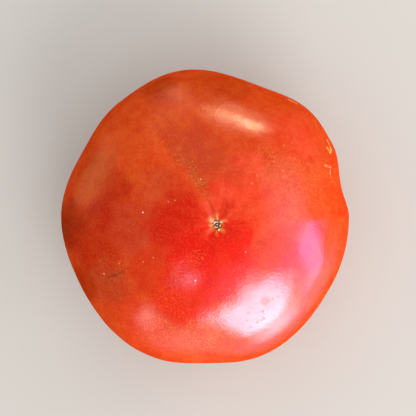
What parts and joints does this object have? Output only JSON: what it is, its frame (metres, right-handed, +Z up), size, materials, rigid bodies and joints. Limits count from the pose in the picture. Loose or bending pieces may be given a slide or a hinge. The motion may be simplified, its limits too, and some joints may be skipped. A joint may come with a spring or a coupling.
{
  "type": "beefsteak tomato",
  "caption": "Whole ripe beefsteak tomato, squat and lobed, standing on its stem end with the blossom scar on top.",
  "frame": {"origin": "under the middle of the fruit's box, on the surface that it stands on", "axes": "+Z up, from the stem end to the blossom end; +Y is towards the top of the picture and +X to its right"},
  "size_m": [0.0884, 0.0902, 0.0543],
  "materials": {
    "skin": "smooth waxy tomato skin, satin gloss, red with orange shoulders and fine pale flecks"
  },
  "bodies": {
    "root": {"tomato": "skin"}
  },
  "joints": []
}
